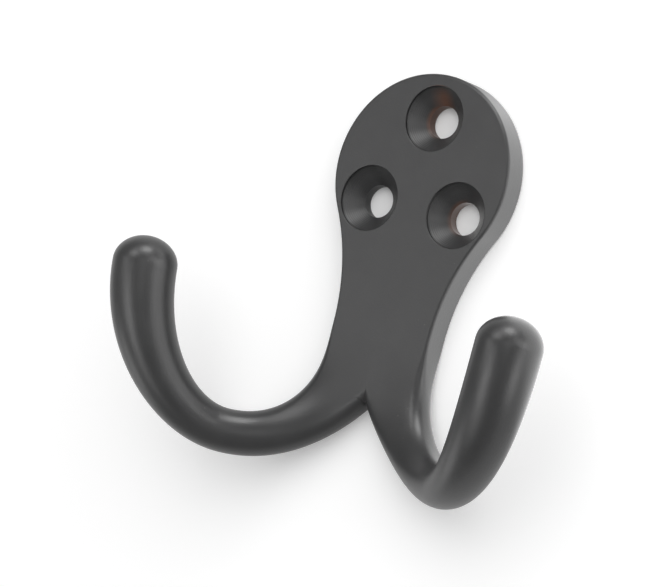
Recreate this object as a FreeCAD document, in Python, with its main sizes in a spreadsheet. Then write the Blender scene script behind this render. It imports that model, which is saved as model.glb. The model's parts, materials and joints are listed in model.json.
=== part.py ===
"""Double robe hook: a pear-shaped backplate that runs into two round arms, cast in one piece.

The back of the plate lies in the plane Y = 0, against the wall. The hook stands out towards -Y,
with +Z up. The origin is the centre of the three screw holes, on the back of the plate.
"""
import FreeCAD
import Part
import Sketcher

import math
import os

from FreeCAD import Vector

# Driving sizes, in millimetres, with angles in degrees of turn.
SIZES = {
    # Backplate: a round head that narrows to a waist.
    "plate_thickness": 4.1,
    "head_radius": 13.75,
    "head_height": 0.6,
    "waist_half_width": 7.9,
    "waist_depth": 21.35,
    "edge_round": 0.4,
    # Three countersunk screw holes on one circle about the origin.
    "hole_circle_radius": 8.2,
    "hole_diameter": 4.5,
    "countersink_diameter": 9.0,
    "countersink_angle": 90.0,
    "rim_round": 0.15,
    # Arm: it drops from the waist, passes its lowest point and turns up to the tip.
    "arm_bottom_side": 18.1,
    "arm_inner_span": 15.8,
    "arm_outer_span": 11.6,
    "arm_bottom_depth": 39.55,
    "arm_rise": 21.3,
    "arm_turn": 174.5,
    "arm_reach": 15.0,
    "arm_neck": 3.05,
    "arm_hollow": 0.5,
    "round_turn": 80.0,
    # Tip: a domed end.
    "tip_radius": 4.45,
    "tip_height": 3.85,
}

HOLE_COUNT = 3
# Share of each half of the bend, before and after the lowest point, at which the arm has a section.
INNER_SHARES = (0.08, 0.24, 0.45, 0.67, 0.89)
OUTER_SHARES = (0.11, 0.33, 0.55, 0.76, 0.93, 1.0)
# Half of the angle that each side of a fully round section spans: eight equal arcs.
FULL_SIDE_ANGLE = 22.5
# Most that a section's corner radius may take of the room there is for it.
CORNER_SHARE = 0.9
# The arm leaves the wall as this power of its way across, and its sections turn as the next one.
FORWARD_POWER = 2
HEADING_POWER = 1.5

# How a sketch numbers its own axes, and the points of an edge.
ORIGIN, X_AXIS, Y_AXIS = -1, -1, -2
START, END, CENTRE = 1, 2, 3
QUARTER = math.pi / 2
SIDE_COUNT = 8

# Sizes that the arm's sections share.
ARM_SPAN = "(Sizes.arm_inner_span + Sizes.arm_outer_span)"
ROOT_SIDE = "(Sizes.arm_bottom_side - Sizes.arm_inner_span)"
ROOT_HALF_WIDTH = f"(Sizes.waist_half_width - {ROOT_SIDE})"


def make_sheet(doc):
    """The spreadsheet that holds the driving sizes, one named cell each."""
    sheet = doc.addObject("Spreadsheet::Sheet", "Sizes")
    for row, (name, value) in enumerate(SIZES.items(), start=1):
        sheet.set(f"A{row}", name)
        sheet.set(f"B{row}", str(value))
        sheet.setAlias(f"B{row}", name)
    doc.recompute()
    return sheet


def new_sketch(body, name, plane_role):
    """An empty sketch on one of the body's own origin planes."""
    plane = next(item for item in body.Origin.OriginFeatures if item.Role == plane_role)
    sketch = body.newObject("Sketcher::SketchObject", name)
    sketch.AttachmentSupport = (plane, [""])
    sketch.MapMode = "FlatFace"
    return sketch


def arc(centre_x, centre_y, radius, start, end):
    """A sketch arc that runs anticlockwise between two angles, in radians."""
    circle = Part.Circle(Vector(centre_x, centre_y, 0), Vector(0, 0, 1), radius)
    return Part.ArcOfCircle(circle, start, end)


def drive(sketch, name, formula, *constraint):
    """Add a named dimension to the sketch and bind it to a formula."""
    index = sketch.addConstraint(Sketcher.Constraint(*constraint))
    sketch.renameConstraint(index, name)
    sketch.setExpression(f"Constraints.{name}", formula)


def join(sketch, count):
    """Make a closed run of edges tangent from each one to the next."""
    for edge in range(count):
        following = (edge + 1) % count
        sketch.addConstraint(Sketcher.Constraint("Tangent", edge, END, following, START))


def plate_outline(body, sheet):
    """Front view of the plate: head arc, two waist arcs tangent to it, and a straight lower end."""
    sketch = new_sketch(body, "plate_outline", "XZ_Plane")
    head, half = sheet.head_radius, sheet.waist_half_width
    drop = sheet.head_height + sheet.waist_depth
    # The waist arc is upright at the waist and tangent to the head, which sets its radius.
    waist = (half ** 2 + drop ** 2 - head ** 2) / (2 * (head - half))
    meet = math.atan2(drop, half + waist)
    sketch.addGeometry([
        arc(0, sheet.head_height, head, -meet, math.pi + meet),
        arc(-half - waist, -sheet.waist_depth, waist, 0, meet),
        Part.LineSegment(Vector(-half, -sheet.waist_depth, 0), Vector(half, -sheet.waist_depth, 0)),
        arc(half + waist, -sheet.waist_depth, waist, math.pi - meet, math.pi),
    ])
    head_arc, left_arc, lower_end, right_arc = range(4)
    sketch.addConstraint([
        Sketcher.Constraint("Tangent", head_arc, END, left_arc, END),
        Sketcher.Constraint("Tangent", head_arc, START, right_arc, START),
        Sketcher.Constraint("Coincident", left_arc, START, lower_end, START),
        Sketcher.Constraint("Coincident", right_arc, END, lower_end, END),
        Sketcher.Constraint("PointOnObject", head_arc, CENTRE, Y_AXIS),
        Sketcher.Constraint("Symmetric", lower_end, START, lower_end, END, Y_AXIS),
        Sketcher.Constraint("Horizontal", left_arc, CENTRE, lower_end, START),
        Sketcher.Constraint("Horizontal", right_arc, CENTRE, lower_end, END),
    ])
    drive(sketch, "head_radius", "Sizes.head_radius", "Radius", head_arc, head)
    drive(sketch, "head_height", "Sizes.head_height",
          "DistanceY", ORIGIN, START, head_arc, CENTRE, sheet.head_height)
    drive(sketch, "waist_width", "2 * Sizes.waist_half_width",
          "DistanceX", lower_end, START, lower_end, END, 2 * half)
    drive(sketch, "waist_depth", "Sizes.waist_depth",
          "DistanceY", lower_end, START, ORIGIN, START, sheet.waist_depth)
    return sketch


def section_formulas(share, outer):
    """Formulas for one arm section, at a share of the bend before or after its lowest point.

    The arm's line is a quarter of an ellipse down from the waist and part of another one up to the
    tip. Its back leaves the wall on a parabola, and its sizes ease from the plate's to the tip's.
    Drawn narrows the arm on the side of the notch, most of all half way down to its lowest point.
    OvalRadius is an ellipse's radius of curvature half way between its axes, and CornerLimit is the
    corner radius at which the shorter sides of the section would shrink to a point.
    """
    if outer:
        turn = f"90 + (Sizes.arm_turn - 90) * {share}"
        span, height = "Sizes.arm_outer_span", "Sizes.arm_rise"
        wide = f"Sizes.arm_neck + (Sizes.tip_radius - Sizes.arm_neck) * (1 - cos(180 * {share})) / 2"
        drawn = "0"
    else:
        turn = f"90 * {share}"
        span, height = "Sizes.arm_inner_span", "(Sizes.arm_bottom_depth - Sizes.waist_depth)"
        wide = f"Sizes.arm_neck + ({ROOT_HALF_WIDTH} - Sizes.arm_neck) * (1 + cos(180 * {share})) / 2"
        drawn = "Sizes.arm_hollow * sin(2 * Turn) ^ 2"
    values = {
        "Turn": turn,
        "Across": f"(Sizes.arm_inner_span - {span} * cos(Turn)) / {ARM_SPAN}",
        "Heading": f"atan(Sizes.arm_reach * Across ^ {HEADING_POWER} / {ARM_SPAN}) / 1 deg",
        "Lean": f"atan2({span} * sin(Turn); {height} * cos(Turn)) / 1 deg",
        "Drawn": drawn,
        "HalfWidth": f"{wide} - Drawn",
        "HalfDepth": "Sizes.plate_thickness / 2 + (Sizes.tip_radius - Sizes.plate_thickness / 2)"
                     " * (1 - cos(180 * Turn / Sizes.arm_turn)) / 2",
        "Roundness": "(1 - cos(180 * min(Turn / Sizes.round_turn; 1))) / 2",
        "SideSine": f"sin({FULL_SIDE_ANGLE} * Roundness)",
        "SideBulge": f"1 - cos({FULL_SIDE_ANGLE} * Roundness)",
        "OvalRadius": "((HalfWidth ^ 2 + HalfDepth ^ 2) / 2) ^ 1.5 / (HalfWidth * HalfDepth)",
        "CornerLimit": "min(HalfDepth * SideSine - HalfWidth * SideBulge;"
                       " HalfWidth * SideSine - HalfDepth * SideBulge)"
                       " / ((1 - SideBulge - SideSine) * (SideSine - SideBulge))",
        "CornerRadius": "min(Sizes.edge_round + (OvalRadius - Sizes.edge_round) * Roundness;"
                        f" {CORNER_SHARE} * CornerLimit)",
        "CornerReach": "CornerRadius * (1 - SideBulge - SideSine)",
        "FaceRadius": "((HalfWidth - CornerReach) * SideSine - (HalfDepth - CornerReach) * SideBulge)"
                      " / (SideSine ^ 2 - SideBulge ^ 2)",
        "FlankRadius": "((HalfDepth - CornerReach) * SideSine - (HalfWidth - CornerReach) * SideBulge)"
                       " / (SideSine ^ 2 - SideBulge ^ 2)",
    }
    place = {
        "Base.x": f"Sizes.arm_bottom_side - {span} * cos(Turn) + Drawn * cos(Lean) * cos(Heading)",
        "Base.y": f"-HalfDepth - Sizes.arm_reach * Across ^ {FORWARD_POWER}"
                  " - Drawn * cos(Lean) * sin(Heading)",
        "Base.z": f"{height} * (1 - sin(Turn)) - Sizes.arm_bottom_depth + Drawn * sin(Lean)",
        "Rotation.Yaw": "90 - Heading",
        "Rotation.Roll": "-Lean",
    }
    return values, place


def add_formulas(sketch, values, place):
    """Store a section's values on its sketch, place the sketch by them and work them out."""
    for name, formula in values.items():
        sketch.addProperty("App::PropertyFloat", name, "Section")
        sketch.setExpression(name, formula)
    for path, formula in place.items():
        sketch.setExpression(f".AttachmentOffset.{path}", formula)
    sketch.Document.recompute()


def root_section(body):
    """The arm's first section, at the waist: the plate's own rounded rectangle, past mid-plane."""
    sketch = new_sketch(body, "arm_root", "XY_Plane")
    values = {
        "HalfWidth": ROOT_HALF_WIDTH,
        "HalfDepth": "Sizes.plate_thickness / 2",
        "CornerRadius": "Sizes.edge_round",
    }
    place = {
        "Base.x": ROOT_SIDE,
        "Base.y": "-HalfDepth",
        "Base.z": "-Sizes.waist_depth",
        "Rotation.Yaw": "90 deg",
    }
    add_formulas(sketch, values, place)
    deep, wide, radius = sketch.HalfDepth, sketch.HalfWidth, sketch.CornerRadius
    side_x, side_y = deep - radius, wide - radius
    sketch.addGeometry([
        Part.LineSegment(Vector(deep, -side_y, 0), Vector(deep, side_y, 0)),
        arc(side_x, side_y, radius, 0, QUARTER),
        Part.LineSegment(Vector(side_x, wide, 0), Vector(-side_x, wide, 0)),
        arc(-side_x, side_y, radius, QUARTER, 2 * QUARTER),
        Part.LineSegment(Vector(-deep, side_y, 0), Vector(-deep, -side_y, 0)),
        arc(-side_x, -side_y, radius, 2 * QUARTER, 3 * QUARTER),
        Part.LineSegment(Vector(-side_x, -wide, 0), Vector(side_x, -wide, 0)),
        arc(side_x, -side_y, radius, 3 * QUARTER, 4 * QUARTER),
    ])
    back, corner_1, far, corner_2, front, corner_3, near, _ = range(SIDE_COUNT)
    join(sketch, SIDE_COUNT)
    sketch.addConstraint([
        Sketcher.Constraint("Vertical", back),
        Sketcher.Constraint("Horizontal", far),
        Sketcher.Constraint("Vertical", front),
        Sketcher.Constraint("Horizontal", near),
        Sketcher.Constraint("Equal", corner_1, corner_2),
        Sketcher.Constraint("Equal", corner_1, corner_3),
        Sketcher.Constraint("Symmetric", corner_1, CENTRE, corner_3, CENTRE, ORIGIN, START),
    ])
    drive(sketch, "corner", "CornerRadius", "Radius", corner_1, radius)
    drive(sketch, "corner_side", "HalfDepth - CornerRadius",
          "DistanceX", ORIGIN, START, corner_1, CENTRE, side_x)
    drive(sketch, "corner_end", "HalfWidth - CornerRadius",
          "DistanceY", ORIGIN, START, corner_1, CENTRE, side_y)
    return sketch


def arm_section(body, name, share, outer):
    """One section along the arm: eight tangent arcs, from a soft rectangle to a full circle."""
    sketch = new_sketch(body, name, "XY_Plane")
    add_formulas(sketch, *section_formulas(share, outer))
    deep, wide, corner = sketch.HalfDepth, sketch.HalfWidth, sketch.CornerRadius
    face, flank = sketch.FaceRadius, sketch.FlankRadius
    lean = math.asin(sketch.SideSine)
    corner_x = deep - face + (face - corner) * math.cos(lean)
    corner_y = (face - corner) * sketch.SideSine
    sketch.addGeometry([
        arc(deep - face, 0, face, -lean, lean),
        arc(corner_x, corner_y, corner, lean, QUARTER - lean),
        arc(0, wide - flank, flank, QUARTER - lean, QUARTER + lean),
        arc(-corner_x, corner_y, corner, QUARTER + lean, 2 * QUARTER - lean),
        arc(face - deep, 0, face, 2 * QUARTER - lean, 2 * QUARTER + lean),
        arc(-corner_x, -corner_y, corner, 2 * QUARTER + lean, 3 * QUARTER - lean),
        arc(0, flank - wide, flank, 3 * QUARTER - lean, 3 * QUARTER + lean),
        arc(corner_x, -corner_y, corner, 3 * QUARTER + lean, 4 * QUARTER - lean),
    ])
    back, corner_1, far, corner_2, front, corner_3, near, corner_4 = range(SIDE_COUNT)
    sketch.addConstraint([
        Sketcher.Constraint("PointOnObject", back, CENTRE, X_AXIS),
        Sketcher.Constraint("Vertical", back, START, back, END),
        Sketcher.Constraint("PointOnObject", far, CENTRE, Y_AXIS),
        Sketcher.Constraint("Horizontal", far, START, far, END),
        Sketcher.Constraint("Symmetric", back, START, front, END, Y_AXIS),
        Sketcher.Constraint("Symmetric", back, END, front, START, Y_AXIS),
        Sketcher.Constraint("Equal", back, front),
        Sketcher.Constraint("Symmetric", far, START, near, END, X_AXIS),
        Sketcher.Constraint("Symmetric", far, END, near, START, X_AXIS),
        Sketcher.Constraint("Equal", far, near),
    ])
    for before, corner_arc, after in ((back, corner_1, far), (far, corner_2, front),
                                      (front, corner_3, near), (near, corner_4, back)):
        sketch.addConstraint(Sketcher.Constraint("Tangent", before, END, corner_arc, START))
        sketch.addConstraint(Sketcher.Constraint("Coincident", corner_arc, END, after, START))
    drive(sketch, "face_radius", "FaceRadius", "Radius", back, face)
    drive(sketch, "face_centre", "HalfDepth - FaceRadius",
          "DistanceX", ORIGIN, START, back, CENTRE, deep - face)
    drive(sketch, "face_chord", "2 * FaceRadius * SideSine",
          "DistanceY", back, START, back, END, 2 * face * sketch.SideSine)
    drive(sketch, "flank_radius", "FlankRadius", "Radius", far, flank)
    drive(sketch, "flank_centre", "HalfWidth - FlankRadius",
          "DistanceY", ORIGIN, START, far, CENTRE, wide - flank)
    drive(sketch, "flank_chord", "2 * FlankRadius * SideSine",
          "DistanceX", far, END, far, START, 2 * flank * sketch.SideSine)
    return sketch


def plate(body, sheet):
    """The plate, with its long edges rounded front and back."""
    pad = body.newObject("PartDesign::Pad", "plate")
    pad.Profile = plate_outline(body, sheet)
    pad.setExpression("Length", "Sizes.plate_thickness")
    body.Document.recompute()
    curved = [f"Edge{number}" for number, edge in enumerate(pad.Shape.Edges, start=1)
              if isinstance(edge.Curve, Part.Circle)]
    rounds = body.newObject("PartDesign::Fillet", "plate_edges")
    rounds.Base = (pad, curved)
    rounds.setExpression("Radius", "Sizes.edge_round")
    body.Document.recompute()


def arm(body):
    """One arm, lofted through its sections and closed by a domed tip."""
    sections = [root_section(body)]
    for outer, shares in ((False, INNER_SHARES), (True, OUTER_SHARES)):
        for share in shares:
            sections.append(arm_section(body, f"arm_section_{len(sections)}", share, outer))
    loft = body.newObject("PartDesign::AdditiveLoft", "arm")
    loft.Profile = sections[0]
    loft.Sections = sections[1:]
    body.Document.recompute()
    dome = body.newObject("PartDesign::AdditiveEllipsoid", "tip")
    dome.AttachmentSupport = (sections[-1], [""])
    dome.MapMode = "ObjectXY"
    dome.AttachmentOffset.Rotation = FreeCAD.Rotation(Vector(1, 0, 0), 180)
    dome.setExpression("Radius1", "Sizes.tip_height")
    dome.setExpression("Radius2", "Sizes.tip_radius")
    dome.setExpression("Radius3", "Sizes.tip_radius")
    dome.Angle1 = 0
    dome.Angle2 = 90
    dome.Angle3 = 360
    body.Document.recompute()


def trim_to_half(body, sheet):
    """Cut the casting at the mid-plane, which leaves one half of the plate and one clean arm."""
    sketch = new_sketch(body, "mid_plane", "YZ_Plane")
    reach = 2 * sheet.arm_bottom_depth
    edge = sketch.addGeometry(Part.Circle(Vector(0, 0, 0), Vector(0, 0, 1), reach))
    sketch.addConstraint(Sketcher.Constraint("Coincident", edge, CENTRE, ORIGIN, START))
    drive(sketch, "reach", "2 * Sizes.arm_bottom_depth", "Radius", edge, reach)
    body.Document.recompute()
    cut = body.newObject("PartDesign::Pocket", "half")
    cut.Profile = sketch
    cut.Type = "ThroughAll"
    body.Document.recompute()


def mirror_half(body):
    """The other half, a mirror image of the first."""
    mirrored = body.newObject("PartDesign::Mirrored", "both_halves")
    mirrored.TransformMode = "Whole shape"
    plane = next(item for item in body.Origin.OriginFeatures if item.Role == "YZ_Plane")
    mirrored.MirrorPlane = (plane, [""])
    body.Tip = mirrored
    body.Document.recompute()


def screw_holes(body, sheet):
    """Countersunk screw holes, drilled from the front and spread round the origin."""
    sketch = new_sketch(body, "screw_hole_centre", "XZ_Plane")
    sketch.setExpression(".AttachmentOffset.Base.z", "Sizes.plate_thickness")
    radius = sheet.hole_diameter / 2
    circle = Part.Circle(Vector(0, sheet.hole_circle_radius, 0), Vector(0, 0, 1), radius)
    hole_edge = sketch.addGeometry(circle)
    sketch.addConstraint(Sketcher.Constraint("PointOnObject", hole_edge, CENTRE, Y_AXIS))
    drive(sketch, "from_centre", "Sizes.hole_circle_radius",
          "DistanceY", ORIGIN, START, hole_edge, CENTRE, sheet.hole_circle_radius)
    drive(sketch, "bore", "Sizes.hole_diameter / 2", "Radius", hole_edge, radius)
    body.Document.recompute()
    hole = body.newObject("PartDesign::Hole", "screw_hole")
    hole.Profile = sketch
    hole.DepthType = "ThroughAll"
    hole.HoleCutType = "Countersink"
    hole.HoleCutCustomValues = True
    hole.setExpression("Diameter", "Sizes.hole_diameter")
    hole.setExpression("HoleCutDiameter", "Sizes.countersink_diameter")
    hole.setExpression("HoleCutCountersinkAngle", "Sizes.countersink_angle")
    body.Document.recompute()
    pattern = body.newObject("PartDesign::PolarPattern", "screw_holes")
    pattern.Originals = [hole]
    axis = next(item for item in body.Origin.OriginFeatures if item.Role == "Y_Axis")
    pattern.Axis = (axis, [""])
    pattern.Angle = 360
    pattern.Occurrences = HOLE_COUNT
    body.Tip = pattern
    body.Document.recompute()


def rim_rounds(body):
    """Small rounds on the front rims of the countersinks, the longest edges of their cones."""
    holes = body.Tip
    rims = [max(face.Edges, key=lambda edge: edge.Length) for face in holes.Shape.Faces
            if isinstance(face.Surface, Part.Cone)]
    names = [f"Edge{number}" for number, edge in enumerate(holes.Shape.Edges, start=1)
             if any(edge.isSame(rim) for rim in rims)]
    rounds = body.newObject("PartDesign::Fillet", "rim_rounds")
    rounds.Base = (holes, names)
    rounds.setExpression("Radius", "Sizes.rim_round")
    body.Tip = rounds
    body.Document.recompute()


def check(doc, body):
    """Stop if a feature failed or the finished solid is not sound."""
    failed = [item.Name for item in doc.Objects
              if "Invalid" in item.State or "Error" in item.State]
    if failed:
        raise RuntimeError(f"Features that failed: {failed}")
    if body.Shape.isNull() or not body.Shape.isValid() or len(body.Shape.Solids) != 1:
        raise RuntimeError("The hook is not one sound solid")


def main():
    """Build the hook and write it."""
    doc = FreeCAD.newDocument("double_robe_hook")
    sheet = make_sheet(doc)
    body = doc.addObject("PartDesign::Body", "double_hook")
    body.Label = "double_hook"
    plate(body, sheet)
    arm(body)
    trim_to_half(body, sheet)
    mirror_half(body)
    screw_holes(body, sheet)
    rim_rounds(body)
    check(doc, body)
    os.makedirs("parts", exist_ok=True)
    body.Shape.exportStep(os.path.join("parts", f"{body.Label}.step"))


main()
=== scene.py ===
"""Double robe hook in satin black: the casting, its coat and the stage that it is seen on."""

import functools
import json
import math

import bmesh
import bpy
import numpy as np
from mathutils import Matrix, Vector
from mathutils.geometry import delaunay_2d_cdt


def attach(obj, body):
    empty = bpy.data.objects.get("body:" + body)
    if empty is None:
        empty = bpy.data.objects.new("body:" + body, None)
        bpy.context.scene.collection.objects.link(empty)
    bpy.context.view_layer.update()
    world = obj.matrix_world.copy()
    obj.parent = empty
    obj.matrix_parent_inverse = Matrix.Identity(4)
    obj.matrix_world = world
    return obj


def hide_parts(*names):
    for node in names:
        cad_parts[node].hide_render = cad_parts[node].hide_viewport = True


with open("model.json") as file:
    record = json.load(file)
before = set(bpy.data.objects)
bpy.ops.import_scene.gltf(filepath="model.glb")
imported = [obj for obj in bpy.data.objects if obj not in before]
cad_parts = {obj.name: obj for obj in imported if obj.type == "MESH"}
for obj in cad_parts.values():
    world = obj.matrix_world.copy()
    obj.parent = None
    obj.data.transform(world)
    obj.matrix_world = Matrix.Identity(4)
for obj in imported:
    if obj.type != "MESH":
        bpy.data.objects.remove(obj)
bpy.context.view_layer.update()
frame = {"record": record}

bl_info = {
    "name": "Double robe hook",
    "version": (1, 0, 0),
    "blender": (4, 5, 0),
    "location": "3D View > Sidebar > Robe hook",
    "description": "Makes a cast double robe hook in satin black, and the stage that it is seen on",
    "category": "Add Mesh",
}

MM = 0.001
HOLES = frame["record"]["mounts"][0]["dims"]
QUARTER = math.pi / 2
HOOK_MIDDLE = Vector((0.0, -0.008, -0.014))

# Half of the angle of each of the eight arcs in a fully round section, and the least share of it at the root.
FULL_OPEN_ANGLE = math.radians(22.5)
LEAST_ROUNDING = 0.0001
# Places on an arm's ring, counted in arcs: the middles of its front, back and left side, and a whole turn.
FRONT_MIDDLE, BACK_MIDDLE, LEFT_MIDDLE, RING_TURN = 2.5, -1.5, 4.5, 8.0
# Turn past the root at which the search for the parting of the arms starts.
FIRST_TURN = 0.02

# Points on each part of an arm's ring, on the plate's edge and on a tip's dome.
COUNTS = {"face": 7, "corner": 10, "side": 12, "inner": 20, "dome": 22}
# Rings of an arm, steps along half of the plate's outline and steps round a screw seat.
ARM_RINGS, OUTLINE_STEPS, SEAT_STEPS = 190, 110, 128
# How the rings are spread before the arms part: as this power of an even spread.
RING_SPREAD = 0.9
# Points down a screw seat: on its rim, its cone and its bore.
RIM_POINTS, CONE_POINTS, BORE_POINTS = 8, 15, 7
# Width of the flat strip that runs beside each rounded edge.
FLAT_STRIP = 0.035 * MM
# Spacing of the points on a flat face, and the distances of their rows and from the outline as shares of it.
NET_SPACING = 1.1 * MM
NET_ROWS, NET_CLEARANCE = 0.866, 0.6
# The triangulation gives back the inside alone, and takes points nearer than this many millimetres as one.
INSIDE_ALONE, SAME_POINT = 1, 1e-6
# Points of the mesh nearer to each other than this become one.
WELD = 0.0004 * MM
CREASE_ANGLE = math.radians(32)
BODY_FINISH, SEAT_FINISH = 0, 1

# Broad clouds in the coat: the noise at which they begin and are full, and how pale they are.
CLOUD_RANGE = (0.3, 0.7)
CLOUD_COVER = 0.12
# Specks: cells in a metre, the share of cells without one, their edge and full part in a cell, and how pale.
SPECK_CELLS = 900.0
SPECK_FREE = 0.93
SPECK_RANGE = (0.11, 0.05)
SPECK_COVER = 0.8
# Depth of the coat's peel, how strongly it shows on the body and in the seats, and the cutter's marks beside it.
PEEL_DEPTH = 0.03 * MM
BODY_BUMP, SEAT_BUMP = 0.5, 0.35
MARK_SHARE = 0.5

# Marks and painted shade in a screw seat, from where each begins to where it is full, measured from the hole's own
# axis.
# The painted shade inside the rim's upper left, the slant of its edge, its strength and how far past the rim it may
# go.
SHADE_RADIUS, SHADE_HEIGHT = (3.5 * MM, 4.4 * MM), (0.5 * MM, 3.5 * MM)
SHADE_SLANT, SHADE_SHARE = 0.6, 0.75
RIM_SLACK = 0.01 * MM
# Painted shade on the short wall under each rim: a dark line, its distance inside the rim and its half width.
RIM_SHADE_INSIDE = 0.03 * MM
RIM_SHADE_WIDTH = (0.1 * MM, 0.06 * MM)
# The brown on the left of the bore, and its strength in the upper, left and right hole.
BROWN_RADIUS, BROWN_SIDE = (2.7 * MM, 2.2 * MM), (0.4 * MM, -1.6 * MM)
BROWN_SHARES = (1.0, 0.0, 0.75)
# The brown streak up the cone of the upper hole.
STREAK_LEFT = 0.3 * MM
STREAK_WIDTH, STREAK_HEIGHT = (1.9 * MM, 0.2 * MM), (1.0 * MM, 2.2 * MM)
STREAK_SHARE = 0.75

# Painted light: a patch of the wall, sideways and upwards, that glows only in reflections and brightens the plate's
# side.
PATCH_SIDE, PATCH_HEIGHT = (3 * MM, 9 * MM), (-37 * MM, -27 * MM)
# Painted shade: where the wall's glow stops behind the plate's head, which darkens the wall seen through the screw
# holes.
HEAD_SHADE_RADIUS = (11.5 * MM, 13.5 * MM)

# Width of the camera's sensor in millimetres and of the picture in pixels, and what the camera sees in metres.
SENSOR_WIDTH, PICTURE_WIDTH = 36.0, 665
CAMERA_RANGE = (0.01, 10.0)


def length(name, description, default_mm):
    """A length property whose default is given in millimetres."""
    return bpy.props.FloatProperty(name=name, description=description, default=default_mm * MM, min=0.0,
                                   precision=5, unit="LENGTH", subtype="DISTANCE")


def angle(name, description, default_degrees):
    """An angle property whose default is given in degrees."""
    return bpy.props.FloatProperty(name=name, description=description, subtype="ANGLE", unit="ROTATION",
                                   default=math.radians(default_degrees))


def amount(name, description, default, top=1.0):
    """A plain number from nought up."""
    return bpy.props.FloatProperty(name=name, description=description, default=default, min=0.0, max=top)


def colour(name, description, default):
    """A linear colour."""
    return bpy.props.FloatVectorProperty(name=name, description=description, default=default, min=0.0, max=1.0,
                                         size=3, subtype="COLOR")


class HookForm(bpy.types.PropertyGroup):
    """Sizes of the casting."""

    plate_thickness: length("Plate thickness", "From the wall to the front of the plate", 4.1)
    head_radius: length("Head radius", "Radius of the plate's round head", 13.75)
    head_height: length("Head height", "Centre of the head above the centre of the screw holes", 0.6)
    waist_half_width: length("Waist half width", "Half of the plate's width where the arms begin", 7.9)
    waist_depth: length("Waist depth", "The waist below the centre of the screw holes", 21.35)
    edge_round: length("Edge round", "Radius along the plate's edges", 0.4)
    hole_circle_radius: length("Hole circle radius", "Screw holes from their common centre", HOLES["pcd_mm"] / 2)
    hole_radius: length("Hole radius", "Radius of the plain bore", HOLES["hole_r_mm"])
    seat_radius: length("Seat radius", "Radius of the countersink at the plate's front", 4.5)
    seat_rim_round: length("Seat rim round", "Radius where the countersink meets the front", 0.12)
    seat_wall: length("Seat wall", "Depth of the short upright wall between the rim and the cone", 0.4)
    arm_bottom_side: length("Arm bottom side", "Lowest point of an arm from the middle", 18.1)
    arm_inner_span: length("Arm inner span", "From an arm's root sideways to its lowest point", 15.8)
    arm_outer_span: length("Arm outer span", "From an arm's lowest point sideways to its widest point", 11.6)
    arm_bottom_depth: length("Arm bottom depth", "Lowest point of an arm below the hole circle's centre", 39.55)
    arm_rise: length("Arm rise", "Height that the arm would regain in a full half turn", 21.3)
    arm_turn: angle("Arm turn", "Turn from the root to the tip", 174.5)
    arm_reach: length("Arm reach", "How far the arm comes forward over its full width", 15.0)
    arm_neck: length("Arm neck", "Half width of the arm at its lowest point", 3.05)
    arm_hollow: length("Arm hollow", "How much the arm is narrowed on the side of the notch, half way down", 0.5)
    round_turn: angle("Round turn", "Turn by which the section has become a full oval", 80.0)
    tip_radius: length("Tip radius", "Half width of the arm at its tip", 4.45)
    tip_height: length("Tip height", "Height of the dome on the tip", 3.85)


class HookCoat(bpy.types.PropertyGroup):
    """Finish of the casting."""

    body: colour("Coat", "Colour of the satin black coat", (0.016, 0.016, 0.0164))
    pale: colour("Pale coat", "Colour of the coat where it is thin, and of the specks in it", (0.05, 0.05, 0.05))
    # Painted shade: colour of the dark line on the short wall under each seat's rim and of the shade inside the
    # rim's upper left.
    painted_shade: colour("Recess", "Colour of the coat under and inside the seats' rims", (0.004, 0.004, 0.004))
    bore: colour("Thin coat in the bores", "Brown of the metal through a thin coat", (0.11, 0.042, 0.02))
    roughness: amount("Roughness", "Roughness of the coat", 0.37)
    seat_roughness: amount("Seat roughness", "Roughness of the coat in the screw seats", 0.45)
    uneven: amount("Unevenness", "How much the roughness varies over the casting", 0.03)
    peel: length("Peel", "Size of the coat's fine peel", 0.3)
    mottle: length("Mottle", "Size of the coat's broad clouds", 5.0)
    turning: length("Turning marks", "Spacing of the cutter's marks in the screw seats", 0.2)


class HookStage(bpy.types.PropertyGroup):
    """Wall, light and camera."""

    wall: colour("Wall", "Colour of the wall behind the hook", (0.9, 0.9, 0.9))
    wall_half: length("Wall size", "Half of the wall's width and height", 600.0)
    wall_gap: length("Wall gap", "The wall behind the back of the hook", 0.1)
    wall_skin: length("Wall skin", "Light that starts nearer to the wall than this passes through it", 0.5)
    wall_glow: amount("Wall glow", "Glow of the wall in the camera's view and in reflections", 0.2)
    # Painted light: a patch to the right of the plate that glows only in reflections.
    wall_patch: amount("Wall patch", "More glow in reflections, to the right of the plate", 1.7, 10.0)
    light_in_front: amount("Light in front", "Strength of the even light in front of the wall", 0.42, 10.0)
    light_behind: amount("Light behind", "Strength of the even light behind the wall", 0.8, 10.0)
    lamp_distance: length("Lamp distance", "Lamps from the middle of the hook", 700.0)
    camera_azimuth: angle("Camera azimuth", "Camera to the right of the plate's front", 34.243)
    camera_elevation: angle("Camera elevation", "Camera above the hook", -2.36)
    camera_roll: angle("Camera roll", "Lean of the camera", 14.283)
    camera_distance: length("Camera distance", "Camera from the middle of the hook", 494.296)
    camera_left: length("Camera shift", "Camera moved to the left of the hook's middle", 6.134)
    camera_down: length("Camera drop", "Camera moved below the hook's middle", 2.818)
    focal_pixels: bpy.props.FloatProperty(name="Focal length in pixels", default=3693.4, min=1.0,
                                          description="Focal length over the width of one pixel of the picture")


# Shapes

def ease(share):
    """A smooth step from 0 to 1: half of one minus the cosine of half a turn times the share."""
    return (1 - np.cos(np.pi * share)) / 2


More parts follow.
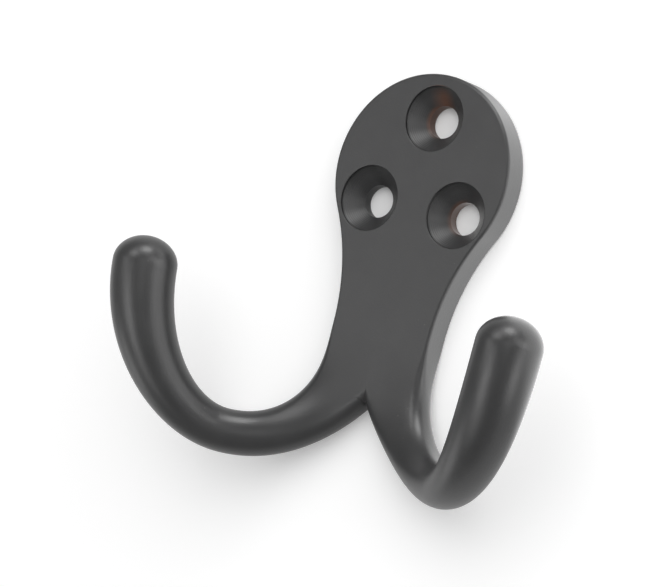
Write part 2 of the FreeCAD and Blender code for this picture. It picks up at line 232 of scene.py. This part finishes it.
def arm_axes(form, turn):
    """Centre line of the right arm and the directions across it.

    The centre goes down and out on a quarter ellipse and up on a second one, both as a function of the turn.
    It comes forward by the square of the share of the width that it has gone out.
    The section lies across the centre line, and turns forward with it. Half way down to the lowest point it is
    narrowed on the side of the notch. All in x, forward, z.
    """
    inner = turn < QUARTER
    span = np.where(inner, form.arm_inner_span, form.arm_outer_span)
    drop = np.where(inner, form.arm_bottom_depth - form.waist_depth, form.arm_rise)
    root_side = form.arm_bottom_side - form.arm_inner_span
    width = form.arm_inner_span + form.arm_outer_span
    side = form.arm_bottom_side - span * np.cos(turn)
    height = -form.arm_bottom_depth + drop * (1 - np.sin(turn))
    out = np.clip((side - root_side) / width, 0, None)

    half_plate = form.plate_thickness / 2
    half_depth = half_plate + (form.tip_radius - half_plate) * ease(turn / form.arm_turn)
    root_half = form.waist_half_width - root_side
    half_width = np.where(
        inner,
        form.arm_neck + (root_half - form.arm_neck) * ease(1 - turn / QUARTER),
        form.arm_neck + (form.tip_radius - form.arm_neck) * ease((turn - QUARTER) / (form.arm_turn - QUARTER)))

    drawn = np.where(inner, form.arm_hollow * np.sin(2 * turn) ** 2, 0)
    half_width = half_width - drawn
    centre = np.stack([side, half_depth + form.arm_reach * out ** 2, height], -1)
    heading = np.arctan(form.arm_reach * out ** 1.5 / width)
    lean = np.arctan2(span * np.sin(turn), drop * np.cos(turn))
    nought = np.zeros_like(turn)
    level = np.stack([np.cos(heading), np.sin(heading), nought], -1)
    up = np.array([0.0, 0.0, 1.0])
    across = level * np.cos(lean)[..., None] + up * np.sin(lean)[..., None]
    forward = np.stack([-np.sin(heading), np.cos(heading), nought], -1)
    along = level * np.sin(lean)[..., None] - up * np.cos(lean)[..., None]
    return centre + across * drawn[..., None], across, forward, along, half_width, half_depth


def arm_ring(form, turn, place):
    """Points of the arm's section: eight tangent arcs, four sides and four corners.

    Place 0 to 8 counts the arcs round from the right side. At the root the corners have the plate's edge round and
    the sides are almost straight, and further on all eight arcs open to an oval with 45 degrees in each.
    """
    centre, across, forward, _, a, b = arm_axes(form, turn)
    rounding = ease(np.minimum(turn / form.round_turn, 1))
    open_angle = FULL_OPEN_ANGLE * np.maximum(rounding, LEAST_ROUNDING)
    oval = ((a * a + b * b) / 2) ** 1.5 / (a * b)
    corner = form.edge_round + (oval - form.edge_round) * rounding
    c, s = np.cos(open_angle), np.sin(open_angle)
    k = 1 - c
    wide, deep = a - corner * (c - s), b - corner * (c - s)
    side_radius = (deep * s - wide * k) / (s * s - k * k)
    face_radius = (wide * s - deep * k) / (s * s - k * k)
    corner_x = a - side_radius + (side_radius - corner) * c
    corner_y = (side_radius - corner) * s

    arc = np.floor(place)
    share = place - arc
    arc = arc % 8
    quarter = arc // 2
    is_corner = arc % 2 == 1
    start = quarter * QUARTER + np.where(is_corner, open_angle, -open_angle)
    sweep = np.where(is_corner, QUARTER - 2 * open_angle, 2 * open_angle)
    turned = start + share * sweep
    on_side = quarter % 2 == 0
    radius = np.where(is_corner, corner, np.where(on_side, side_radius, face_radius))
    reach = np.where(on_side, a - side_radius, b - face_radius)
    middle_x = np.where(is_corner, corner_x * np.where((quarter == 0) | (quarter == 3), 1, -1),
                        reach * np.round(np.cos(quarter * QUARTER)))
    middle_y = np.where(is_corner, corner_y * np.where(quarter < 2, 1, -1),
                        reach * np.round(np.sin(quarter * QUARTER)))
    x = middle_x + radius * np.cos(turned)
    y = middle_y + radius * np.sin(turned)
    return centre + across * x[..., None] + forward * y[..., None]


def halve(function, low, high, steps=60):
    """Where a falling function passes nought, by halving the range, for whole arrays at once."""
    for _ in range(steps):
        middle = (low + high) / 2
        above = function(middle) > 0
        low, high = np.where(above, middle, low), np.where(above, high, middle)
    return (low + high) / 2


def seam_place(form, turn, touch):
    """The place on each ring that is nearest to the middle plane, kept still once the arms have parted."""
    turn = np.minimum(turn, touch)
    _, across, forward, _, _, _ = arm_axes(form, turn)
    shift = np.arctan(forward[..., 0] / across[..., 0])
    rounding = ease(np.minimum(turn / form.round_turn, 1))
    open_angle = FULL_OPEN_ANGLE * np.maximum(rounding, LEAST_ROUNDING)
    return LEFT_MIDDLE + np.clip(shift / (2 * open_angle), -0.5, 0.5)


def arm_grid(form):
    """The right arm as a grid of rings, and the dome on its tip.

    While a ring still crosses the middle plane it runs from the plane round the right side and back to the plane.
    Where the two arms part it closes, and from there on each ring is whole.
    The dome is a quarter ellipse that carries the last ring in to a point.
    """
    def clearance(turn):
        turn = np.atleast_1d(turn)
        return -arm_ring(form, turn, seam_place(form, turn, turn))[:, 0]

    touch = halve(clearance, np.array([FIRST_TURN]), np.array([QUARTER]))[0]
    before = touch * np.linspace(0, 1, ARM_RINGS // 3) ** RING_SPREAD
    after = touch + (form.arm_turn - touch) * np.linspace(0, 1, ARM_RINGS - ARM_RINGS // 3 + 1)[1:]
    turn = np.concatenate([before, after])

    seam = seam_place(form, turn, touch)
    joined = turn < touch
    front = halve(lambda p: arm_ring(form, turn, p)[:, 0], np.full_like(turn, FRONT_MIDDLE), seam)
    back = halve(lambda p: arm_ring(form, turn, p)[:, 0], np.full_like(turn, BACK_MIDDLE), seam - RING_TURN)
    front = np.where(joined, front, seam)
    back = np.where(joined, back, seam - RING_TURN)

    flat = form.waist_half_width - (form.arm_bottom_side - form.arm_inner_span) - form.edge_round
    to_edge = np.append(np.linspace(0, 1 - FLAT_STRIP / flat, COUNTS["face"]), 1.0)
    inner = np.linspace(0, 1, COUNTS["inner"] + 1)
    right = np.concatenate([
        FRONT_MIDDLE - 0.5 * to_edge,
        2 - np.linspace(0, 1, COUNTS["corner"] + 1)[1:],
        1 - np.linspace(0, 1, COUNTS["side"] + 1)[1:],
        -np.linspace(0, 1, COUNTS["corner"] + 1)[1:],
        BACK_MIDDLE + 0.5 * to_edge[::-1][1:]])
    place = np.concatenate([
        front[:, None] + (FRONT_MIDDLE - front[:, None]) * inner[:-1],
        np.broadcast_to(right, (len(turn), len(right))),
        BACK_MIDDLE + (back[:, None] - BACK_MIDDLE) * inner[1:]], 1)
    rings = arm_ring(form, np.broadcast_to(turn[:, None], place.shape), place)
    rings[joined, 0, 0] = 0
    rings[joined, -1, 0] = 0

    centre, _, _, along, _, _ = arm_axes(form, turn[-1:])
    lift = np.linspace(0, QUARTER, COUNTS["dome"] + 1)[1:, None, None]
    dome = centre + along * form.tip_height * np.sin(lift) + (rings[-1] - centre) * np.cos(lift)
    return np.concatenate([rings, dome])


def plate_outline(form):
    """The right half of the plate's outline and its outward direction, from the waist up to the top of the head.

    A hollow arc leaves the waist upright and meets the head's round arc on the line between their centres.
    """
    rise = form.waist_depth + form.head_height
    hollow = ((form.waist_half_width ** 2 + rise ** 2 - form.head_radius ** 2)
              / (2 * (form.head_radius - form.waist_half_width)))
    meet = math.atan2(rise, form.waist_half_width + hollow)
    bend = np.linspace(0, meet, OUTLINE_STEPS // 3)
    round_head = np.linspace(-meet, QUARTER, OUTLINE_STEPS - OUTLINE_STEPS // 3 + 1)[1:]
    points = np.concatenate([
        np.stack([form.waist_half_width + hollow * (1 - np.cos(bend)),
                  -form.waist_depth + hollow * np.sin(bend)], -1),
        np.stack([form.head_radius * np.cos(round_head),
                  form.head_height + form.head_radius * np.sin(round_head)], -1)])
    outward = np.concatenate([np.stack([np.cos(bend), -np.sin(bend)], -1),
                              np.stack([np.cos(round_head), np.sin(round_head)], -1)])
    return points, outward


def plate_rim(form):
    """The plate's rim: flat strip, front edge round, side, back edge round and strip, along the outline."""
    points, outward = plate_outline(form)
    swing = np.linspace(0, QUARTER, COUNTS["corner"] + 1)
    e, t = form.edge_round, form.plate_thickness
    wall = np.linspace(t - e, e, COUNTS["side"] + 1)[1:-1]
    strip = [-e - FLAT_STRIP]
    off = np.concatenate([strip, -e + e * np.sin(swing), 0 * wall, -e + e * np.cos(swing), strip])
    depth = np.concatenate([[t], t - e + e * np.cos(swing), wall, e - e * np.sin(swing), [0]])
    flat = points[:, None] + outward[:, None] * off[None, :, None]
    return np.stack([flat[..., 0], np.broadcast_to(depth, flat.shape[:2]), flat[..., 1]], -1)


def seat_profile(form):
    """Radius and depth down a screw hole: flat strip, rim round, short wall, cone, bore and flat strip at the back.

    The rim is a quarter round, the wall is upright, and the cone falls as fast as it narrows.
    """
    t, r = form.plate_thickness, form.seat_rim_round
    roll = np.linspace(0, QUARTER, RIM_POINTS)
    rim_radius = form.seat_radius + r * (1 - np.sin(roll))
    rim_depth = t - r + r * np.cos(roll)
    wall_end = t - form.seat_wall
    fall = form.seat_radius - form.hole_radius
    cone = np.linspace(0, 1, CONE_POINTS)
    bore = np.linspace(0, 1, BORE_POINTS)[1:]
    radius = np.concatenate([[form.seat_radius + r + FLAT_STRIP], rim_radius, form.seat_radius - fall * cone,
                             np.full(len(bore), form.hole_radius), [form.hole_radius + FLAT_STRIP]])
    depth = np.concatenate([[t], rim_depth, wall_end - fall * cone, (wall_end - fall) * (1 - bore), [0]])
    return radius, depth


def screw_seat(form, centre):
    """A countersunk hole: the profile turned round the hole's own axis."""
    radius, depth = seat_profile(form)
    round_angle = np.linspace(0, 4 * QUARTER, SEAT_STEPS + 1)[:, None]
    return np.stack([centre[0] + radius * np.cos(round_angle),
                     np.broadcast_to(depth, (SEAT_STEPS + 1, len(depth))),
                     centre[1] + radius * np.sin(round_angle)], -1)


def grid_faces(grid):
    """Corner numbers of a grid's four-sided faces."""
    rows, columns = grid.shape[:2]
    corner = np.arange(rows - 1)[:, None] * columns + np.arange(columns - 1)
    return np.stack([corner, corner + 1, corner + columns + 1, corner + columns], -1).reshape(-1, 4)


def inside_outline(points, outline):
    """Which points lie inside a closed outline, by counting the outline's crossings to one side."""
    x, z = points[:, 0, None], points[:, 1, None]
    x1, z1 = outline[:, 0], outline[:, 1]
    x2, z2 = np.roll(x1, -1), np.roll(z1, -1)
    spans = (z1 > z) != (z2 > z)
    run = np.where(z2 == z1, 1.0, z2 - z1)
    return ((x < x1 + (z - z1) * (x2 - x1) / run) & spans).sum(1) % 2 == 1


def flat_fill(outline, holes):
    """Triangles of a flat face between its outline and its round holes, with an even net of points between."""
    loops = [outline] + [ring for _, _, ring in holes]
    starts = np.cumsum([0] + [len(loop) for loop in loops])
    edges = [np.stack([np.arange(len(loop)), np.roll(np.arange(len(loop)), -1)], -1) + start
             for loop, start in zip(loops, starts)]
    low, high = outline.min(0), outline.max(0)
    across = np.arange(low[0], high[0], NET_SPACING)
    up = np.arange(low[1], high[1], NET_SPACING * NET_ROWS)
    net = np.stack(np.meshgrid(across, up), -1)
    net[1::2, :, 0] += NET_SPACING / 2
    net = net.reshape(-1, 2)
    net = net[inside_outline(net, outline)]
    rim = np.concatenate(loops)
    nearest = np.sqrt(((net[:, None] - rim[None]) ** 2).sum(-1)).min(1)
    net = net[nearest > NET_SPACING * NET_CLEARANCE]
    for centre, radius, _ in holes:
        net = net[np.hypot(*(net - centre).T) > radius]
    points = np.concatenate([rim, net])
    found = delaunay_2d_cdt([Vector(p) for p in points / MM], np.concatenate(edges).tolist(), [],
                            INSIDE_ALONE, SAME_POINT)
    flat = np.array(found[0]) * MM
    faces = np.array(found[2])
    middle = flat[faces].mean(1)
    keep = inside_outline(middle, outline)
    for centre, radius, _ in holes:
        keep &= np.hypot(*(middle - centre).T) > radius
    return flat, faces[keep]


def hole_spots(form):
    """Centres of the upper, left and right screw holes, evenly round one circle."""
    round_angle = QUARTER + np.arange(3) * 4 * QUARTER / 3
    return form.hole_circle_radius * np.round(np.stack([np.cos(round_angle), np.sin(round_angle)], -1), 9)


def casting_surfaces(form):
    """Every surface of the casting in x, forward, z, with its faces and which finish they take."""
    arm, rim = arm_grid(form), plate_rim(form)
    spots = hole_spots(form)
    seats = [screw_seat(form, spot) for spot in spots]

    parts = []
    for grid in (arm, rim):
        points, faces = grid.reshape(-1, 3), grid_faces(grid)
        parts.append((points, faces, BODY_FINISH))
        parts.append((points * [-1, 1, 1], faces[:, ::-1], BODY_FINISH))
    for seat in seats:
        points, faces = seat.reshape(-1, 3), grid_faces(seat)
        column = faces[:, 0] % seat.shape[1]
        on_flat = (column == 0) | (column == seat.shape[1] - 2)
        parts.append((points, faces[on_flat], BODY_FINISH))
        parts.append((points, faces[~on_flat], SEAT_FINISH))

    to_edge = COUNTS["inner"] + COUNTS["face"] - 1
    for end, depth, root in ((0, form.plate_thickness, arm[0]), (-1, 0.0, arm[0, ::-1])):
        half = np.concatenate([root[:to_edge, [0, 2]], rim[:, end][:, [0, 2]]])
        outline = np.concatenate([half, (half * [-1, 1])[::-1][1:-1]])
        rings = [seat[:-1, end][:, [0, 2]] for seat in seats]
        holes = [(spot, np.hypot(*(ring[0] - spot)), ring) for spot, ring in zip(spots, rings)]
        flat, faces = flat_fill(outline, holes)
        points = np.stack([flat[:, 0], np.full(len(flat), depth), flat[:, 1]], -1)
        parts.append((points, faces, BODY_FINISH))
    return parts


def casting_mesh(name, form):
    """One closed mesh from all surfaces, welded, turned outwards and creased where two surfaces meet."""
    mesh = bpy.data.meshes.new(name)
    build = bmesh.new()
    points, faces, finish, first = [], [], [], 0
    for part_points, part_faces, part_finish in casting_surfaces(form):
        points.append(part_points)
        faces += (part_faces + first).tolist()
        finish += [part_finish] * len(part_faces)
        first += len(part_points)
    points = np.concatenate(points) * [1, -1, 1]
    mesh.from_pydata(points.tolist(), [], faces)
    mesh.polygons.foreach_set("material_index", np.array(finish, dtype=np.int32))
    build.from_mesh(mesh)
    bmesh.ops.remove_doubles(build, verts=build.verts, dist=WELD)
    bmesh.ops.dissolve_degenerate(build, edges=build.edges, dist=WELD / 4)
    loose = [v for v in build.verts if not v.link_faces]
    bmesh.ops.delete(build, geom=loose, context="VERTS")
    bmesh.ops.recalc_face_normals(build, faces=build.faces)
    open_edges = sum(not edge.is_manifold for edge in build.edges)
    if build.calc_volume(signed=True) < 0:
        bmesh.ops.reverse_faces(build, faces=build.faces)
    build.to_mesh(mesh)
    build.free()
    if open_edges:
        raise RuntimeError(f"The casting is not closed: {open_edges} open edges")
    mesh.shade_smooth()
    mesh.set_sharp_from_angle(angle=CREASE_ANGLE)
    return mesh


# Finishes

class Nodes:
    """Short ways to add and join shader nodes."""

    def __init__(self, tree):
        self.tree = tree

    def put(self, socket, value):
        """Join a socket to another one, or give it a plain value."""
        if isinstance(value, bpy.types.NodeSocket):
            self.tree.links.new(value, socket)
        else:
            socket.default_value = value

    def add(self, kind, values=None, **settings):
        """A node with its settings, and its inputs joined or set."""
        node = self.tree.nodes.new(kind)
        for key, value in settings.items():
            setattr(node, key, value)
        for key, value in (values or {}).items():
            self.put(node.inputs[key], value)
        return node

    def math(self, operation, *values):
        """The result of one sum."""
        return self.add("ShaderNodeMath", dict(enumerate(values)), operation=operation).outputs[0]

    def over(self, operation, values):
        """The result of one operation carried over a list, such as the largest."""
        return functools.reduce(lambda first, second: self.math(operation, first, second), values)

    def ramp(self, value, ends, top=1.0):
        """A value that goes evenly from nought at the first end to the top at the second, and is level beyond."""
        return self.add("ShaderNodeMapRange", {"Value": value, "From Min": ends[0], "From Max": ends[1],
                                               "To Min": 0.0, "To Max": top}).outputs[0]

    def mix(self, share, first, second):
        """Colour between two colours by a share."""
        node = self.add("ShaderNodeMix", {0: share, 6: first, 7: second}, data_type="RGBA")
        return node.outputs[2]


def grain_group():
    """Node group for the cast and coated surface, shared by both coats.

    Peel is fine noise for bump, Mottle is broad noise from 0 to 1, and Specks marks a few tiny round spots.
    """
    tree = bpy.data.node_groups.new("coat_grain", "ShaderNodeTree")
    face = tree.interface
    face.new_socket("Place", in_out="INPUT", socket_type="NodeSocketVector")
    for key in ("Peel Size", "Mottle Size"):
        face.new_socket(key, in_out="INPUT", socket_type="NodeSocketFloat")
    for key in ("Peel", "Mottle", "Specks"):
        face.new_socket(key, in_out="OUTPUT", socket_type="NodeSocketFloat")
    n = Nodes(tree)
    given = n.add("NodeGroupInput").outputs
    place = given["Place"]
    fine = n.add("ShaderNodeTexNoise", {"Vector": place, "Detail": 3.0, "Roughness": 0.55,
                                        "Scale": n.math("DIVIDE", 1.0, given["Peel Size"])})
    broad = n.add("ShaderNodeTexNoise", {"Vector": place, "Detail": 2.0, "Roughness": 0.5,
                                         "Scale": n.math("DIVIDE", 1.0, given["Mottle Size"])})
    spots = n.add("ShaderNodeTexVoronoi", {"Vector": place, "Scale": SPECK_CELLS}).outputs
    chance = n.add("ShaderNodeSeparateColor", {0: spots["Color"]}).outputs[0]
    chosen = n.math("GREATER_THAN", chance, SPECK_FREE)
    near = n.ramp(spots["Distance"], SPECK_RANGE)
    n.add("NodeGroupOutput", {"Peel": fine.outputs["Fac"], "Mottle": n.ramp(broad.outputs["Fac"], CLOUD_RANGE),
                              "Specks": n.math("MULTIPLY", near, chosen)})
    return tree


def coat_start(name, coat, grain, roughness):
    """What both coats begin with: a satin shader, the place on the piece, the shared grain and the black paint."""
    material = bpy.data.materials.new(name)
    material.use_nodes = True
    material.node_tree.nodes.clear()
    n = Nodes(material.node_tree)
    shader = n.add("ShaderNodeBsdfPrincipled", {"Specular IOR Level": 0.5})
    n.add("ShaderNodeOutputMaterial", {"Surface": shader.outputs[0]})
    place = n.add("ShaderNodeTexCoord").outputs["Object"]
    given = {"Place": place, "Peel Size": coat.peel, "Mottle Size": coat.mottle}
    look = n.add("ShaderNodeGroup", given, node_tree=grain).outputs
    n.put(shader.inputs["Roughness"],
          n.math("MULTIPLY_ADD", look["Mottle"], coat.uneven, roughness - coat.uneven / 2))
    cover = n.math("MULTIPLY_ADD", look["Mottle"], CLOUD_COVER, n.math("MULTIPLY", look["Specks"], SPECK_COVER))
    paint = n.mix(cover, (*coat.body, 1), (*coat.pale, 1))
    return material, n, shader, place, look, paint


def coat_end(n, shader, paint, height, strength):
    """What both coats end with: their paint, and the bump of their height."""
    bump = n.add("ShaderNodeBump", {"Strength": strength, "Distance": PEEL_DEPTH, "Height": height})
    n.put(shader.inputs["Normal"], bump.outputs[0])
    n.put(shader.inputs["Base Color"], paint)


def body_coat(name, coat, grain):
    """The satin black coat on the outside of the casting."""
    material, n, shader, _, look, paint = coat_start(name, coat, grain, coat.roughness)
    coat_end(n, shader, paint, look["Peel"], BODY_BUMP)
    return material


def seat_coat(name, coat, grain, form):
    """The coat in the screw seats, over the cutter's marks and with thin brown places in two of the bores.

    The marks are waves of the distance from each hole's own axis. Shade is painted in: darkest on the short wall
    under the rim, and dark inside the rim's upper left. The brown lies on the left of the bores, and on a streak up
    the cone of the upper hole.
    """
    material, n, shader, place, look, paint = coat_start(name, coat, grain, coat.seat_roughness)
    part = n.add("ShaderNodeSeparateXYZ", {0: place}).outputs
    radii, shades, browns = [], [], []
    for spot, brown_share in zip(hole_spots(form), BROWN_SHARES):
        aside, above = n.math("SUBTRACT", part["X"], spot[0]), n.math("SUBTRACT", part["Z"], spot[1])
        squares = n.math("ADD", n.math("MULTIPLY", aside, aside), n.math("MULTIPLY", above, above))
        radius = n.math("SQRT", squares)
        radii.append(radius)
        # Painted shade inside the upper left of each rim.
        inside_rim = n.math("LESS_THAN", radius, form.seat_radius + RIM_SLACK)
        upper_left = n.ramp(n.math("SUBTRACT", above, n.math("MULTIPLY", aside, SHADE_SLANT)), SHADE_HEIGHT)
        shades.append(n.over("MULTIPLY", (n.ramp(radius, SHADE_RADIUS), upper_left, inside_rim)))
        if brown_share:
            browns.append(n.math("MULTIPLY", n.ramp(radius, BROWN_RADIUS, brown_share), n.ramp(aside, BROWN_SIDE)))
        if spot[0] == 0:
            off = n.math("ABSOLUTE", n.math("ADD", aside, STREAK_LEFT))
            streak = n.ramp(off, STREAK_WIDTH, STREAK_SHARE)
            browns.append(n.math("MULTIPLY", streak, n.ramp(above, STREAK_HEIGHT)))

    nearest = n.over("MINIMUM", radii)
    patchy = n.math("MULTIPLY_ADD", look["Mottle"], 0.5, 0.5)
    brown = n.math("MULTIPLY", n.over("MAXIMUM", browns), patchy)
    # Painted shade: a dark line on the short wall under each rim, and the shade inside the rims' upper left.
    from_rim_shade = n.math("ABSOLUTE", n.math("SUBTRACT", nearest, form.seat_radius - RIM_SHADE_INSIDE))
    shaded = n.math("MULTIPLY", n.over("MAXIMUM", shades), SHADE_SHARE)
    dark = n.math("MAXIMUM", n.ramp(from_rim_shade, RIM_SHADE_WIDTH), shaded)
    paint = n.mix(dark, n.mix(brown, paint, (*coat.bore, 1)), (*coat.painted_shade, 1))
    marks = n.math("SINE", n.math("MULTIPLY", nearest, 4 * QUARTER / coat.turning))
    coat_end(n, shader, paint, n.math("MULTIPLY_ADD", marks, MARK_SHARE, look["Peel"]), SEAT_BUMP)
    return material


# Operators

class HOOK_OT_casting(bpy.types.Operator):
    """Make the casting: plate, three screw seats and two arms in one closed piece with its coat"""

    bl_idname = "hook.casting"
    bl_label = "Casting"

    def execute(self, context):
        form, coat = context.scene.hook_form, context.scene.hook_coat
        mesh = casting_mesh("hook_casting", form)
        grain = grain_group()
        mesh.materials.append(body_coat("satin_black_coat", coat, grain))
        mesh.materials.append(seat_coat("screw_seat_coat_and_shade", coat, grain, form))
        piece = bpy.data.objects.new("hook_casting", mesh)
        context.scene.collection.objects.link(piece)
        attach(piece, "root")
        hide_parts("double_hook")
        return {"FINISHED"}


# Each lamp's name, degrees to the right of the plate's front, degrees up, width in millimetres and watts.
# These light the hook and not the wall.
HOOK_LAMPS = (
    ("left_lamp", -18, 28, 320, 1.2),
    ("left_high_lamp", -13, 48, 320, 0.4),
    ("top_lamp", 20, 63, 340, 2.9),
    ("left_middle_lamp", -37, -2, 200, 0.37),
    ("left_low_lamp", -18, -21, 300, 1.05),
    ("left_bottom_lamp", -13, -42, 340, 0.55),
    ("far_left_lamp", -74, -40, 340, 0.55),
    ("middle_lamp", 28, 4, 340, 0.4),
    ("right_lamp", 58, 26, 320, 0.7),
    ("far_right_lamp", 82, 14, 320, 1.2),
    ("far_right_low_lamp", 78, -20, 320, 1.15),
)
# This lights the wall alone.
WALL_LAMPS = (
    ("wall_lamp", 30, 34, 1300, 7.2),
)


def direction(azimuth, elevation):
    """From the hook outwards: so far to the right of the plate's front, and so far up."""
    return Vector((math.sin(azimuth) * math.cos(elevation), -math.cos(azimuth) * math.cos(elevation),
                   math.sin(elevation)))


def soft_lamp(scene, lamp_values, receivers, distance):
    """A round soft lamp that faces the hook's middle, hidden from the camera."""
    name, azimuth, elevation, width, power = lamp_values
    out = direction(math.radians(azimuth), math.radians(elevation))
    lamp = bpy.data.lights.new(name, "AREA")
    lamp.shape = "DISK"
    lamp.size = width * MM
    lamp.energy = power
    item = bpy.data.objects.new(name, lamp)
    item.location = HOOK_MIDDLE + distance * out
    item.rotation_euler = (-out).to_track_quat("-Z", "Y").to_euler()
    item.visible_camera = False
    item.light_linking.receiver_collection = receivers
    scene.collection.objects.link(item)


def wall_receivers(name, wall, state):
    """A list that tells a lamp to light only the wall, or all but the wall."""
    receivers = bpy.data.collections.new(name)
    receivers.objects.link(wall)
    receivers.collection_objects[0].light_linking.link_state = state
    return receivers


def wall_paint(name, stage):
    """Matt white paint with a faint glow of its own in the camera's view and in reflections.

    The glow stops behind the head of the plate, as painted shade on the wall seen through the screw holes, and in
    reflections a patch to the right of the plate glows more, as painted light on the plate's side.
    From behind the wall is clear, so that the back of the hook can be looked at. It is clear as well to light that
    leaves a surface less than a wall_skin in front of it, so that the back isn't dark in such a view.
    """
    material = bpy.data.materials.new(name)
    material.use_nodes = True
    material.node_tree.nodes.clear()
    n = Nodes(material.node_tree)
    path = n.add("ShaderNodeLightPath").outputs
    seen = n.over("MAXIMUM", [path[key] for key in ("Is Camera Ray", "Is Glossy Ray", "Is Transmission Ray")])
    place = n.add("ShaderNodeSeparateXYZ", {0: n.add("ShaderNodeTexCoord").outputs["Object"]}).outputs
    # Painted light: the patch glows only in reflections.
    in_patch = n.math("MULTIPLY", n.ramp(place["X"], PATCH_SIDE), n.ramp(place["Z"], PATCH_HEIGHT))
    on_wall = n.add("ShaderNodeCombineXYZ", {"X": place["X"], "Z": place["Z"]}).outputs[0]
    radius = n.add("ShaderNodeVectorMath", {0: on_wall}, operation="LENGTH").outputs["Value"]
    # Painted shade: the glow stops behind the plate's head.
    plain = n.over("MULTIPLY", (seen, n.ramp(radius, HEAD_SHADE_RADIUS), stage.wall_glow))
    glow = n.math("MULTIPLY_ADD", path["Is Glossy Ray"], n.math("MULTIPLY", in_patch, stage.wall_patch), plain)
    paint = n.add("ShaderNodeBsdfDiffuse", {"Color": (*stage.wall, 1)})
    shine = n.add("ShaderNodeEmission", {"Color": (1, 1, 1, 1), "Strength": glow})
    lit = n.add("ShaderNodeAddShader", {0: paint.outputs[0], 1: shine.outputs[0]})
    behind = n.add("ShaderNodeNewGeometry").outputs["Backfacing"]
    close = n.math("LESS_THAN", path["Ray Length"], stage.wall_skin)
    both = n.add("ShaderNodeMixShader", {0: n.math("MAXIMUM", behind, close), 1: lit.outputs[0],
                                         2: n.add("ShaderNodeBsdfTransparent").outputs[0]})
    n.add("ShaderNodeOutputMaterial", {"Surface": both.outputs[0]})
    return material


def room_light(name, stage):
    """Even light from all round, with one strength in front of the wall and one behind it."""
    world = bpy.data.worlds.new(name)
    world.use_nodes = True
    n = Nodes(world.node_tree)
    towards = n.add("ShaderNodeSeparateXYZ", {0: n.add("ShaderNodeTexCoord").outputs["Generated"]}).outputs
    behind = n.math("GREATER_THAN", towards["Y"], 0.0)
    strength = n.math("MULTIPLY_ADD", behind, stage.light_behind - stage.light_in_front, stage.light_in_front)
    sky = world.node_tree.nodes["Background"].inputs
    n.put(sky["Color"], (1, 1, 1, 1))
    n.put(sky["Strength"], strength)
    return world


def photo_camera(scene, stage):
    """A camera at the photograph's angle: turned round the hook, raised, leaned and moved aside."""
    azimuth, roll = stage.camera_azimuth, stage.camera_roll
    back = direction(azimuth, stage.camera_elevation)
    level = Vector((math.cos(azimuth), math.sin(azimuth), 0))
    up = back.cross(level)
    right = level * math.cos(roll) + up * math.sin(roll)
    top = up * math.cos(roll) - level * math.sin(roll)
    place = (HOOK_MIDDLE + back * stage.camera_distance
             - right * stage.camera_left - top * stage.camera_down)
    data = bpy.data.cameras.new("camera")
    data.sensor_fit = "HORIZONTAL"
    data.sensor_width = SENSOR_WIDTH
    data.lens = stage.focal_pixels / PICTURE_WIDTH * SENSOR_WIDTH
    data.clip_start, data.clip_end = CAMERA_RANGE
    camera = bpy.data.objects.new("camera", data)
    camera.matrix_world = Matrix.Translation(place) @ Matrix((right, top, back)).transposed().to_4x4()
    scene.collection.objects.link(camera)
    scene.camera = camera


class HOOK_OT_stage(bpy.types.Operator):
    """Make the stage: a white wall, soft lamps and a camera at the photograph's angle"""

    bl_idname = "hook.stage"
    bl_label = "Stage"

    def execute(self, context):
        scene, stage = context.scene, context.scene.hook_stage
        scene.view_settings.view_transform = "Standard"
        mesh = bpy.data.meshes.new("wall")
        half, back = stage.wall_half, stage.wall_gap
        mesh.from_pydata([(-half, back, -half), (half, back, -half), (half, back, half), (-half, back, half)],
                         [], [(0, 1, 2, 3)])
        mesh.materials.append(wall_paint("white_wall", stage))
        wall = bpy.data.objects.new("wall", mesh)
        scene.collection.objects.link(wall)
        scene.world = room_light("room", stage)
        for lamps, list_name, state in ((HOOK_LAMPS, "all_but_wall", "EXCLUDE"),
                                        (WALL_LAMPS, "wall_alone", "INCLUDE")):
            receivers = wall_receivers(list_name, wall, state)
            for lamp_values in lamps:
                soft_lamp(scene, lamp_values, receivers, stage.lamp_distance)
        photo_camera(scene, stage)
        return {"FINISHED"}


class HOOK_PT_panel(bpy.types.Panel):
    """Panel in the 3D view's sidebar with the hook's steps and sizes"""

    bl_idname = "HOOK_PT_panel"
    bl_label = "Robe hook"
    bl_space_type = "VIEW_3D"
    bl_region_type = "UI"
    bl_category = "Robe hook"

    def draw(self, context):
        layout = self.layout
        for step in STEPS:
            layout.operator(step.bl_idname)
        for group in (context.scene.hook_form, context.scene.hook_coat, context.scene.hook_stage):
            box = layout.box()
            for key in group.bl_rna.properties.keys():
                if key not in ("rna_type", "name"):
                    box.prop(group, key)


GROUPS = {"hook_form": HookForm, "hook_coat": HookCoat, "hook_stage": HookStage}
STEPS = (HOOK_OT_casting, HOOK_OT_stage)
CLASSES = (*GROUPS.values(), *STEPS, HOOK_PT_panel)


def register():
    for item in CLASSES:
        bpy.utils.register_class(item)
    for key, group in GROUPS.items():
        setattr(bpy.types.Scene, key, bpy.props.PointerProperty(type=group))


def unregister():
    for key in GROUPS:
        delattr(bpy.types.Scene, key)
    for item in reversed(CLASSES):
        bpy.utils.unregister_class(item)


def main():
    register()
    bpy.ops.hook.casting()
    bpy.ops.hook.stage()


if __name__ == "__main__":
    main()
